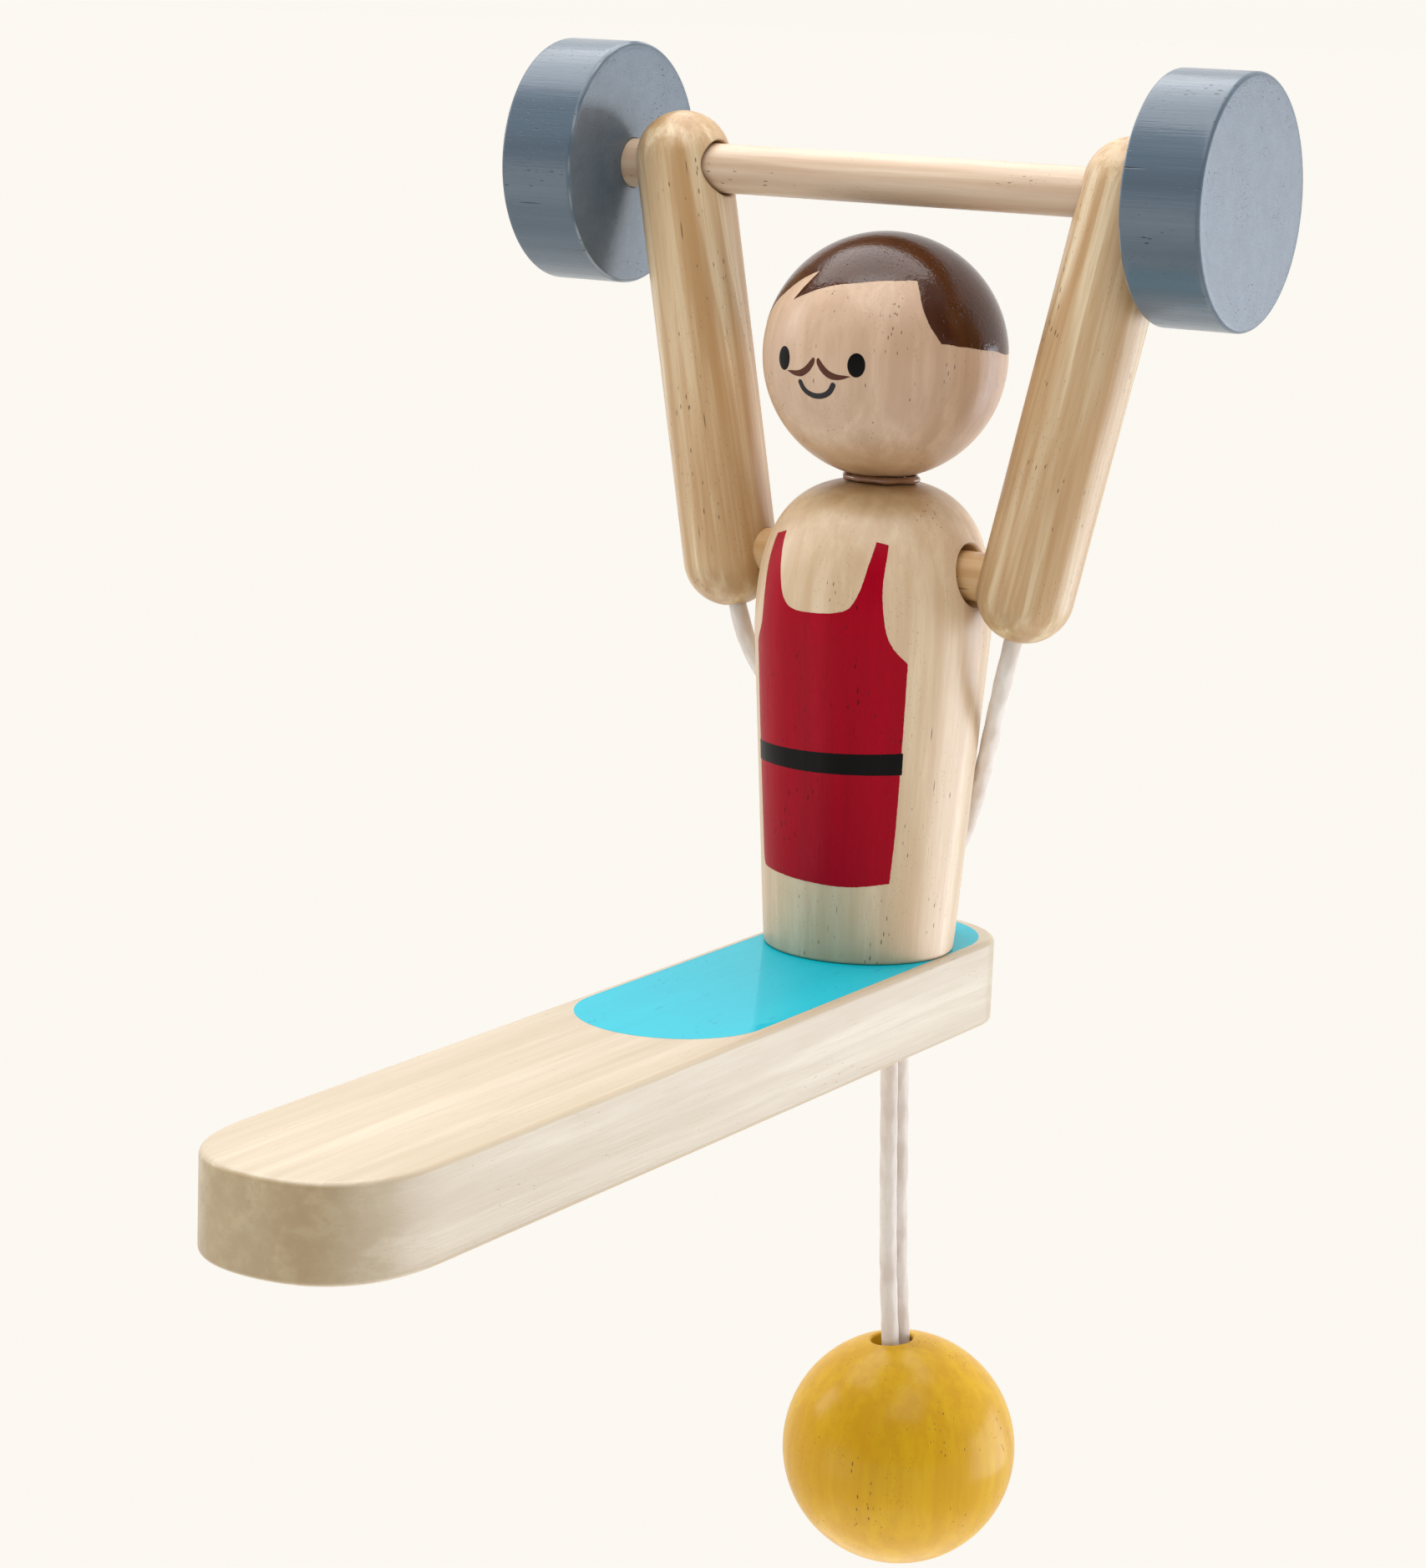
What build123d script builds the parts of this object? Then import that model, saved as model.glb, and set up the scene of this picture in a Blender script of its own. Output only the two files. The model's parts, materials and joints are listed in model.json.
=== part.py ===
from build123d import *
import math
import os

# Wooden pull-string weightlifter toy, in millimetres.
# Origin: middle of the grip, on the flat underside of the handle board.
# +Z up, +Y from the grip towards the figure, +X to the figure's left.
# The figure faces the grip, along -Y.

# ---------------------------------------------------------------- driving dimensions

board_length = 194.0
board_width = 34.3
board_thickness = 14.6
board_edge_round = 1.0
grip_end_depth = 20.8
grip_end_fullness = 0.655
tail_end_depth = 13.5
tail_end_fullness = 0.552
grip_to_figure = 120.0
board_tail = 27.5

torso_foot_radius = 15.9
torso_widest_radius = 19.5
torso_widest_height = 53.0
torso_height = 78.2
torso_shoulder_power = 2.75
torso_foot_round = 0.6
torso_top_flat_radius = 3.0

head_radius = 20.0
head_centre_height = 98.35

dowel_radius = 4.0
glue_gap = 0.05
neck_dowel_length = 18.0
neck_dowel_in_torso = 7.0
foot_dowel_length = 18.0
foot_dowel_in_board = 9.0
foot_dowel_forward = 3.0

shoulder_height = 64.0
shoulder_bore_radius = 5.0
axle_radius = 4.0
axle_half_length = 32.0

arm_radius = 7.95
arm_low_centre = Vector(27.6, 0.0, 62.1)
arm_high_centre = Vector(41.2, 2.4, 127.7)
arm_flat_at = 47.9
arm_bar_bore_radius = 4.5
arm_string_bore_depth = 4.5

bar_radius = 4.05
bar_back = 2.3
bar_height = 126.5
plate_radius = 20.1
plate_thickness = 13.5
plate_inner_face = 49.5
barbell_end_play = -1.3
plate_bore_depth = 8.0
plate_edge_round = 0.7

string_radius = 1.5
string_bore_radius = 1.65
string_hole_radius = 4.5
string_hole_back = 15.4
heel_notch_height = 3.0

ball_radius = 20.3
ball_centre = Vector(3.5, 17.0, -93.3)
ball_bore_direction = Vector(0.09, 0.058, -1.0).normalized()
ball_bore_radius = 3.6
ball_pocket_radius = 6.2
ball_pocket_depth = 9.0
knot_radius = 5.2
knot_height = 7.0
knot_round = 2.0

# ---------------------------------------------------------------- string routes
# Chosen by hand, from the figure's axis at the board's top face, x to the figure's left.
# Each upper string starts glued in an arm tip, lies round the back of the torso, and goes down
# the hole in the board. The two strings are side by side above the board and one behind the
# other below it, so the last points differ.

upper_route = [
    (26.91, -0.14, 58.70),
    (25.30, -0.20, 51.50),
    (22.60, 2.40, 43.50),
    (18.00, 9.20, 35.00),
    (14.20, 14.00, 26.50),
    (10.60, 16.40, 18.00),
    (6.30, 17.90, 9.50),
    (1.75, 18.10, 2.50),
]
left_lower_end = [(1.30, 17.00, -5.00), (0.25, 16.10, -12.00)]
right_lower_end = [(-1.50, 15.20, -5.00), (-0.25, 13.00, -12.00)]

hanging_route = [
    (0.00, 14.55, -12.60),
    (0.75, 15.20, -42.00),
]
hanging_pair_offset = Vector(0.25, 1.55, 0.0)
knot_offset = Vector(0.35, 0.20, 0.0)
ball_mouth_to_knot = 31.8

os.makedirs("parts", exist_ok=True)


def place(solid):
    """Moves a solid from the figure's axis at the board's top face to the part's own frame."""
    return Pos(0, grip_to_figure, board_thickness) * solid


def save(solid, node):
    """Writes one node's STEP file."""
    solid.label = node
    export_step(solid, f"parts/{node}.step")


def rod(start, end, radius):
    """Round rod between two points."""
    run = end - start
    middle = Plane(origin=start + run * 0.5, z_dir=run)
    return middle * Cylinder(radius, run.length)


def mirrored(solid, side):
    """The solid itself on the figure's left (+1), and its mirror image on the right (-1)."""
    return solid if side > 0 else mirror(solid, about=Plane.YZ)


# ---------------------------------------------------------------- handle board and figure


def board_end(tip, depth, fullness):
    """The two curves that round one end of the board, each from a side to the tip."""
    start = tip - math.copysign(depth, tip)
    towards_tip = start + fullness * (tip - start)
    half_width = board_width / 2
    curves = []
    for side in (-half_width, half_width):
        curves.append(
            Bezier((side, start), (side, towards_tip), (side * fullness, tip), (0, tip))
        )
    return curves


def make_handle_board():
    grip_end = board_end(board_tail - board_length, grip_end_depth, grip_end_fullness)
    tail_end = board_end(board_tail, tail_end_depth, tail_end_fullness)
    edges = grip_end + tail_end
    for grip_curve, tail_curve in zip(grip_end, tail_end):
        edges.append(Line(grip_curve @ 0, tail_curve @ 0))
    board = extrude(make_face(edges), board_thickness)
    rims = board.faces().sort_by(Axis.Z)[0].edges() + board.faces().sort_by(Axis.Z)[-1].edges()
    board = fillet(rims, board_edge_round)
    board = Pos(0, 0, -board.bounding_box().max.Z) * board
    board -= Pos(0, string_hole_back, -board_thickness / 2) * Cylinder(
        string_hole_radius, 2 * board_thickness
    )
    dowel_hole_depth = foot_dowel_in_board
    board -= Pos(0, -foot_dowel_forward, -dowel_hole_depth / 2) * Cylinder(
        dowel_radius + glue_gap, dowel_hole_depth
    )
    return board


def shoulder_point(turn):
    """Point on the rounded shoulder, from the widest ring (0) to the top (90 degrees)."""
    power = 2 / torso_shoulder_power
    across = torso_widest_radius * math.cos(math.radians(turn)) ** power
    rise = (torso_height - torso_widest_height) * math.sin(math.radians(turn)) ** power
    return (across, torso_widest_height + rise)


def make_torso():
    top_flat = (torso_top_flat_radius, torso_height)
    curve_points = [shoulder_point(turn) for turn in (0, 12, 25, 38, 52, 66, 78)]
    shoulder = Spline(curve_points + [top_flat], tangents=[(0, 1), (-1, 0)])
    foot_edge = (torso_foot_radius - torso_foot_round, 0)
    side_foot = (torso_foot_radius, torso_foot_round)
    profile = Line((0, 0), foot_edge)
    profile += Line(foot_edge, side_foot)
    profile += Line(side_foot, curve_points[0])
    profile += shoulder
    profile += Line(top_flat, (0, torso_height))
    profile += Line((0, torso_height), (0, 0))
    torso = revolve(Plane.XZ * make_face(profile), Axis.Z)
    shoulder_bore = Rot(0, 90, 0) * Cylinder(shoulder_bore_radius, 4 * torso_widest_radius)
    torso -= Pos(0, 0, shoulder_height) * shoulder_bore
    foot_hole_depth = foot_dowel_length - foot_dowel_in_board
    torso -= Pos(0, -foot_dowel_forward, foot_hole_depth / 2) * Cylinder(
        dowel_radius + glue_gap, foot_hole_depth
    )
    torso -= Pos(0, 0, torso_height - neck_dowel_in_torso) * Cylinder(
        dowel_radius + glue_gap, torso_height, align=(Align.CENTER, Align.CENTER, Align.MIN)
    )
    notch = Pos(0, string_hole_back, 0) * Cylinder(string_hole_radius, 2 * heel_notch_height)
    notch += Pos(0, string_hole_back, heel_notch_height) * Sphere(string_hole_radius)
    return torso - notch


def make_head():
    head = Pos(0, 0, head_centre_height) * Sphere(head_radius)
    bore_top = torso_height - neck_dowel_in_torso + neck_dowel_length
    head -= Pos(0, 0, bore_top) * Cylinder(
        dowel_radius + glue_gap, head_radius, align=(Align.CENTER, Align.CENTER, Align.MAX)
    )
    return head


def make_neck_dowel():
    middle = torso_height - neck_dowel_in_torso + neck_dowel_length / 2
    return Pos(0, 0, middle) * Cylinder(dowel_radius, neck_dowel_length)


def make_foot_dowel():
    middle = foot_dowel_length / 2 - foot_dowel_in_board
    return Pos(0, -foot_dowel_forward, middle) * Cylinder(dowel_radius, foot_dowel_length)


# ---------------------------------------------------------------- arms and shoulder axle


def make_arm():
    """The figure's left arm, with its barbell bore, axle bore and string bore."""
    down = (arm_low_centre - arm_high_centre).normalized()
    arm = rod(arm_low_centre, arm_high_centre, arm_radius)
    arm += Pos(arm_low_centre) * Sphere(arm_radius)
    arm += Pos(arm_high_centre) * Sphere(arm_radius)
    flat_cutter = Box(arm_radius, 4 * arm_radius, 6 * arm_radius)
    arm -= Pos(arm_flat_at + arm_radius / 2, arm_high_centre.Y, arm_high_centre.Z) * flat_cutter
    bar_bore = Rot(0, 90, 0) * Cylinder(arm_bar_bore_radius, 4 * arm_radius)
    arm -= Pos(arm_high_centre.X, bar_back, bar_height) * bar_bore
    axle_bore = Rot(0, 90, 0) * Cylinder(
        axle_radius + glue_gap, axle_half_length, align=(Align.CENTER, Align.CENTER, Align.MIN)
    )
    arm -= Pos(0, 0, shoulder_height) * axle_bore
    tip = arm_low_centre + down * arm_radius
    arm -= rod(tip - down * arm_string_bore_depth, tip + down, string_bore_radius)
    return arm


def make_shoulder_axle():
    axle = Rot(0, 90, 0) * Cylinder(axle_radius, 2 * axle_half_length)
    return Pos(0, 0, shoulder_height) * axle


# ---------------------------------------------------------------- barbell


def make_barbell_bar():
    half_length = plate_inner_face + plate_bore_depth
    bar = Rot(0, 90, 0) * Cylinder(bar_radius, 2 * half_length)
    return Pos(barbell_end_play, bar_back, bar_height) * bar


def make_plate():
    """The plate at the figure's left end of a bar that is centred between the arms."""
    plate = Rot(0, 90, 0) * Cylinder(plate_radius, plate_thickness)
    plate = fillet(plate.edges().filter_by(GeomType.CIRCLE), plate_edge_round)
    bore = Rot(0, 90, 0) * Cylinder(bar_radius + glue_gap, plate_bore_depth)
    plate -= Pos((plate_bore_depth - plate_thickness) / 2, 0, 0) * bore
    return Pos(plate_inner_face + plate_thickness / 2, bar_back, bar_height) * plate


# ---------------------------------------------------------------- pull ball and strings


def make_pull_ball():
    ball = Pos(ball_centre) * Sphere(ball_radius)
    reach = ball_bore_direction * (2 * ball_radius)
    ball -= rod(ball_centre - reach, ball_centre + reach, ball_bore_radius)
    pocket_floor = ball_centre + ball_bore_direction * (ball_radius - ball_pocket_depth)
    ball -= rod(pocket_floor, pocket_floor + reach, ball_pocket_radius)
    return ball


def make_string_knot():
    floor = ball_centre + ball_bore_direction * (ball_radius - ball_pocket_depth)
    knot = rod(floor, floor + ball_bore_direction * knot_height, knot_radius)
    return fillet(knot.edges().filter_by(GeomType.CIRCLE), knot_round)


def tube_radii(points):
    """Largest tangent arc that each corner's two runs allow."""
    radii = []
    for before, corner, after in zip(points, points[1:], points[2:]):
        arriving = corner - before
        leaving = after - corner
        half_turn = math.radians(arriving.get_angle(leaving)) / 2
        radii.append(0.45 * min(arriving.length, leaving.length) / math.tan(half_turn))
    return radii


def make_string(points, name):
    """Straight runs joined by tangent arcs, swept with the string's round section."""
    radii = tube_radii(points)
    path = FilletPolyline(*points, radius=radii)
    section = Plane(origin=points[0], z_dir=points[1] - points[0]) * Circle(string_radius)
    tube = sweep(section, path=path)
    expected = math.pi * string_radius**2 * path.length
    print(name, "length", round(path.length, 1), "radii", [round(r, 1) for r in radii])
    print(name, "volume over section times length", round(tube.volume / expected, 4))
    return tube


def upper_string_points(side):
    """Route of the upper string on one side of the figure."""
    shared = [Vector(side * x, y, z) for x, y, z in upper_route]
    lower_end = left_lower_end if side > 0 else right_lower_end
    return shared + [Vector(*point) for point in lower_end]


def hanging_string_points(side):
    """Route of the hanging string on one side, down to the knot under the ball."""
    offset = hanging_pair_offset * side
    points = [Vector(*point) + offset for point in hanging_route]
    floor = ball_centre + ball_bore_direction * (ball_radius - ball_pocket_depth)
    in_ball = knot_offset + offset
    in_ball -= ball_bore_direction * in_ball.dot(ball_bore_direction)
    end = floor + in_ball
    mouth = end - ball_bore_direction * ball_mouth_to_knot
    return points + [mouth, end]


# ---------------------------------------------------------------- write every node

save(place(make_handle_board()), "handle_board")
save(place(make_torso()), "torso")
save(place(make_head()), "head")
save(place(make_neck_dowel()), "neck_dowel")
save(place(make_foot_dowel()), "foot_dowel")
save(place(make_shoulder_axle()), "shoulder_axle")
save(place(make_barbell_bar()), "barbell_bar")
save(place(make_pull_ball()), "pull_ball")
save(place(make_string_knot()), "string_knot")

for side_name, side in (("left", 1), ("right", -1)):
    save(place(mirrored(make_arm(), side)), f"{side_name}_arm")
    plate = Pos(barbell_end_play, 0, 0) * mirrored(make_plate(), side)
    save(place(plate), f"{side_name}_plate")
    upper_name = f"{side_name}_upper_string"
    save(place(make_string(upper_string_points(side), upper_name)), upper_name)
    hanging_name = f"{side_name}_hanging_string"
    save(place(make_string(hanging_string_points(side), hanging_name)), hanging_name)
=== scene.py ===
"""Looks of the wooden pull-string weightlifter toy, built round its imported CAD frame. Metres."""

import json
import math

import bmesh
import bpy
import numpy as np
from mathutils import Matrix, Vector
from mathutils import noise as mu_noise
from mathutils.geometry import delaunay_2d_cdt

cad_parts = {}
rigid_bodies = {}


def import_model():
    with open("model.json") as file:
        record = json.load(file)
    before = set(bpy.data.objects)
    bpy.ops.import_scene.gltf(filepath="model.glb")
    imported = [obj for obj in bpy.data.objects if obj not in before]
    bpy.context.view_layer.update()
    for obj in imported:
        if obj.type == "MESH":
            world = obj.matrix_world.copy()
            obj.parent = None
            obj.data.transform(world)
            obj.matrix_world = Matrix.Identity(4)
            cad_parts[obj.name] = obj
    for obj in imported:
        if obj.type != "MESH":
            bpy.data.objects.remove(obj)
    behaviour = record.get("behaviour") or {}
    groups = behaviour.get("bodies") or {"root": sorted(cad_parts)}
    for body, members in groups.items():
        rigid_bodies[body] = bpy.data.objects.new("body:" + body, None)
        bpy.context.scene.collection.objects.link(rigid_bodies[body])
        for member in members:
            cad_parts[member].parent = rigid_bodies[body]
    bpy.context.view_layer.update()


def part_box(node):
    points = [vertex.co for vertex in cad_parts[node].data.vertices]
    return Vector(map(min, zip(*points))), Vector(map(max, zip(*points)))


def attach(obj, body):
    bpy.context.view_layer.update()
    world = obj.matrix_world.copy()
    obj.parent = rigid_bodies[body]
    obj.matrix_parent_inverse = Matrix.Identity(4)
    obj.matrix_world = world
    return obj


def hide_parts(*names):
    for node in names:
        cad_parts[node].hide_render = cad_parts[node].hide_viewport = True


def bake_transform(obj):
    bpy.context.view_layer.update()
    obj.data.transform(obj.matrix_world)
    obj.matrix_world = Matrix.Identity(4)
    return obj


MM = 0.001

# The figure's own left is towards +X.
BOTH_SIDES = (("left", 1), ("right", -1))

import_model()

# ---------------------------------------------------------------- places taken from the frame

board_low, board_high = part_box("handle_board")
torso_low, torso_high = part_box("torso")
head_low, head_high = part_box("head")
ball_low, ball_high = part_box("pull_ball")

board_top = board_high.z
figure = Vector(((torso_low.x + torso_high.x) / 2, (torso_low.y + torso_high.y) / 2, board_top))
head_radius = (head_high.x - head_low.x) / 2
head_centre = Vector((figure.x, figure.y, head_high.z - head_radius))
ball_radius = (ball_high.x - ball_low.x) / 2
ball_centre = Vector(((ball_low.x + ball_high.x) / 2, (ball_low.y + ball_high.y) / 2, 0))
ball_centre.z = ball_high.z - ball_radius


def at_figure(x, y, z):
    """A point given in millimetres from the figure's axis at the board's top face."""
    return figure + Vector((x, y, z)) * MM


# ---------------------------------------------------------------- camera and stage

camera_azimuth = math.radians(30.493)
camera_elevation = math.radians(11.386)
camera_roll = math.radians(2.221)
camera_place = Vector((0.308445, -0.453688, 0.171812))
camera_lens = 91.71
floor_height = -0.42
floor_reach = 60.0
floor_colour = (0.80, 0.79, 0.77, 1)
floor_glow = 0.509


def seen_from(azimuth, elevation):
    """Direction towards a viewer or light, from angles in radians. Azimuth 0 is in front."""
    flat = math.cos(elevation)
    return Vector((math.sin(azimuth) * flat, -math.cos(azimuth) * flat, math.sin(elevation)))


def make_camera():
    """Camera at the photograph's distance, direction and roll."""
    back = seen_from(camera_azimuth, camera_elevation)
    level = Vector((math.cos(camera_azimuth), math.sin(camera_azimuth), 0))
    upright = back.cross(level)
    right = math.cos(camera_roll) * level + math.sin(camera_roll) * upright
    up = -math.sin(camera_roll) * level + math.cos(camera_roll) * upright
    data = bpy.data.cameras.new("camera")
    data.sensor_width = 36
    data.lens = camera_lens
    data.clip_start = 0.01
    data.clip_end = 50
    camera = bpy.data.objects.new("camera", data)
    turn = Matrix((right, up, back)).transposed().to_4x4()
    camera.matrix_world = Matrix.Translation(camera_place) @ turn
    bpy.context.scene.collection.objects.link(camera)
    bpy.context.scene.camera = camera


light_aim = Vector((0, 0.12, 0.06))
cool_light = (0.90, 0.985, 1.12)


def softbox(name, azimuth, elevation, distance, width, height, radiance, colour=(1, 1, 1)):
    """Rectangular soft light, placed by its direction in degrees from what it faces."""
    data = bpy.data.lights.new(name, "AREA")
    data.shape = "RECTANGLE"
    data.size = width
    data.size_y = height
    data.energy = radiance * math.pi * width * height
    data.color = colour
    light = bpy.data.objects.new(name, data)
    away = seen_from(math.radians(azimuth), math.radians(elevation))
    light.location = light_aim + away * distance
    light.rotation_euler = away.to_track_quat("Z", "Y").to_euler()
    light.visible_camera = False
    bpy.context.scene.collection.objects.link(light)


surround_colour = (0.965, 0.94, 0.88, 1)
light_colour = (1.0, 0.975, 0.945, 1)
camera_side = (0.15, -0.98, 0.12)


def make_lights():
    """Soft boxes all round, weakest in front, in a white surround that is dim on the camera's side."""
    softbox("light_top", -115, 74, 1.05, 1.15, 1.25, 2.9)
    softbox("light_fill", 20, 62, 1.2, 1.2, 0.9, 2.1)
    softbox("light_right", 130, -15, 1.05, 1.0, 0.8, 3.1, cool_light)
    softbox("light_left", -76, 20, 1.1, 0.3, 0.45, 4.2)
    softbox("light_front", -32, -14, 1.0, 0.6, 0.5, 0.9)
    softbox("light_below", 0, -89, 0.47, 0.6, 0.6, 0.8)
    world = bpy.data.worlds.new("surround")
    bpy.context.scene.world = world
    world.use_nodes = True
    nodes = world.node_tree.nodes
    links = world.node_tree.links
    lit = nodes["Background"]
    lit.inputs["Color"].default_value = light_colour
    shown = nodes.new("ShaderNodeBackground")
    shown.inputs["Color"].default_value = surround_colour
    direction = nodes.new("ShaderNodeTexCoord").outputs["Generated"]
    towards_front = nodes.new("ShaderNodeVectorMath")
    towards_front.operation = "DOT_PRODUCT"
    links.new(direction, towards_front.inputs[0])
    towards_front.inputs[1].default_value = camera_side
    dimming = nodes.new("ShaderNodeMapRange")
    dimming.interpolation_type = "SMOOTHSTEP"
    links.new(towards_front.outputs["Value"], dimming.inputs["Value"])
    for name, number in (("From Min", -0.7), ("From Max", 0.85), ("To Min", 1.0), ("To Max", 0.22)):
        dimming.inputs[name].default_value = number
    links.new(dimming.outputs["Result"], lit.inputs["Strength"])
    seen = nodes.new("ShaderNodeLightPath").outputs["Is Camera Ray"]
    choice = nodes.new("ShaderNodeMixShader")
    links.new(seen, choice.inputs[0])
    links.new(lit.outputs[0], choice.inputs[1])
    links.new(shown.outputs[0], choice.inputs[2])
    links.new(choice.outputs[0], nodes["World Output"].inputs["Surface"])


def make_floor():
    """Plain pale floor, wide enough to reach the horizon and evenly bright."""
    profile = [(0.0, 0.0), (1.0, 0.0), (5.0, 0.0), (floor_reach, 0.0)]
    floor = lathe("floor", profile, 96, Matrix.Translation((0, 0, floor_height)))
    shader = Shader("pale_floor")
    shader.finish(colour=floor_colour, roughness=1.0, specular=0.0)
    glow = shader.principled.inputs
    glow["Emission Color"].default_value = surround_colour
    glow["Emission Strength"].default_value = floor_glow
    floor.data.materials.append(shader.material)
    away_from_floor = bpy.data.collections.new("away_from_floor")
    away_from_floor.objects.link(floor)
    away_from_floor.collection_objects[0].light_linking.link_state = "EXCLUDE"
    for light in bpy.context.scene.collection.objects:
        if light.type == "LIGHT":
            light.light_linking.receiver_collection = away_from_floor


# ---------------------------------------------------------------- mesh helpers


def new_piece(name, points, faces, smooth_over=40):
    """Mesh object from points and faces, smooth apart from edges sharper than an angle in degrees."""
    mesh = bpy.data.meshes.new(name)
    mesh.from_pydata([tuple(p) for p in points], [], [tuple(f) for f in faces])
    mesh.validate()
    mesh.update()
    piece = bpy.data.objects.new(name, mesh)
    bpy.context.scene.collection.objects.link(piece)
    smooth_by_angle(piece, smooth_over)
    return piece


def smooth_by_angle(piece, degrees):
    """Shades a piece smooth, with hard shading across edges sharper than an angle."""
    mesh = piece.data
    mesh.polygons.foreach_set("use_smooth", [True] * len(mesh.polygons))
    mesh.set_sharp_from_angle(angle=math.radians(degrees))


def rounded(points, radii, steps=6):
    """The open polyline with each inner corner replaced by an arc of its radius."""
    made = [Vector(points[0])]
    for index in range(1, len(points) - 1):
        corner = Vector(points[index])
        radius = radii.get(index, 0)
        if not radius:
            made.append(corner)
            continue
        arriving = (Vector(points[index - 1]) - corner).normalized()
        leaving = (Vector(points[index + 1]) - corner).normalized()
        half = arriving.angle(leaving) / 2
        centre = corner + (arriving + leaving).normalized() * (radius / math.sin(half))
        start = corner + arriving * (radius / math.tan(half)) - centre
        end = corner + leaving * (radius / math.tan(half)) - centre
        for step in range(steps + 1):
            made.append(centre + start.lerp(end, step / steps).normalized() * radius)
    made.append(Vector(points[-1]))
    return [tuple(p) for p in made]


def lathe(name, profile, segments, matrix, closed=False):
    """Surface of revolution of (radius, height) points about the matrix's own Z axis."""
    points = []
    rows = []
    for radius, height in profile:
        if radius < 1e-9:
            rows.append([len(points)])
            points.append(matrix @ Vector((0, 0, height)))
            continue
        row = []
        for k in range(segments):
            turn = 2 * math.pi * k / segments
            row.append(len(points))
            points.append(matrix @ Vector((radius * math.cos(turn), radius * math.sin(turn), height)))
        rows.append(row)
    pairs = list(zip(rows, rows[1:]))
    if closed:
        pairs.append((rows[-1], rows[0]))
    faces = []
    for lower, upper in pairs:
        for k in range(segments):
            after = (k + 1) % segments
            if len(lower) == 1 and len(upper) == 1:
                continue
            if len(lower) == 1:
                faces.append((lower[0], upper[after], upper[k]))
            elif len(upper) == 1:
                faces.append((lower[k], lower[after], upper[0]))
            else:
                faces.append((lower[k], lower[after], upper[after], upper[k]))
    return new_piece(name, points, faces)


def tube_faces(rows, count, looped=False):
    """Faces over rings of points, which are closed into a loop or else capped at both ends."""
    faces = [] if looped else [tuple(range(count - 1, -1, -1))]
    for row in range(rows if looped else rows - 1):
        onward = (row + 1) % rows * count
        for k in range(count):
            after = (k + 1) % count
            faces.append((row * count + k, row * count + after, onward + after, onward + k))
    if not looped:
        faces.append(tuple((rows - 1) * count + k for k in range(count)))
    return faces


def edge_arc(radius, steps):
    """(inset, rise) pairs of a rounded edge, from its face in to its side."""
    turns = np.radians(np.linspace(0, 90, steps + 1))
    return [(radius * (1 - math.sin(turn)), radius * (1 - math.cos(turn))) for turn in turns]


def in_metres(profile):
    """A profile given in millimetres, in metres."""
    return [(radius * MM, height * MM) for radius, height in profile]


def cut_away(piece, cutters):
    """Removes the cutters' volumes from a piece, and deletes the cutters."""
    for cutter in cutters:
        modifier = piece.modifiers.new("cut", "BOOLEAN")
        modifier.operation = "DIFFERENCE"
        modifier.solver = "EXACT"
        modifier.object = cutter
    bpy.context.view_layer.update()
    depsgraph = bpy.context.evaluated_depsgraph_get()
    cut = bpy.data.meshes.new_from_object(piece.evaluated_get(depsgraph))
    piece.modifiers.clear()
    old = piece.data
    piece.data = cut
    bpy.data.meshes.remove(old)
    for cutter in cutters:
        bpy.data.objects.remove(cutter)
    smooth_by_angle(piece, 35)


def axis_matrix(start, direction):
    """Matrix whose Z axis runs along a direction from a start point."""
    turn = Vector(direction).to_track_quat("Z", "Y").to_matrix().to_4x4()
    return Matrix.Translation(start) @ turn


def rod_piece(name, start, end, radius, segments=64, edge=0.0):
    """Closed round rod between two points, with its end edges eased."""
    length = (Vector(end) - Vector(start)).length
    corners = [(0, 0), (radius, 0), (radius, length), (0, length)]
    profile = rounded(corners, {1: edge, 2: edge}, 3)
    return lathe(name, profile, segments, axis_matrix(start, Vector(end) - Vector(start)))


# ---------------------------------------------------------------- shader helpers


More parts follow.
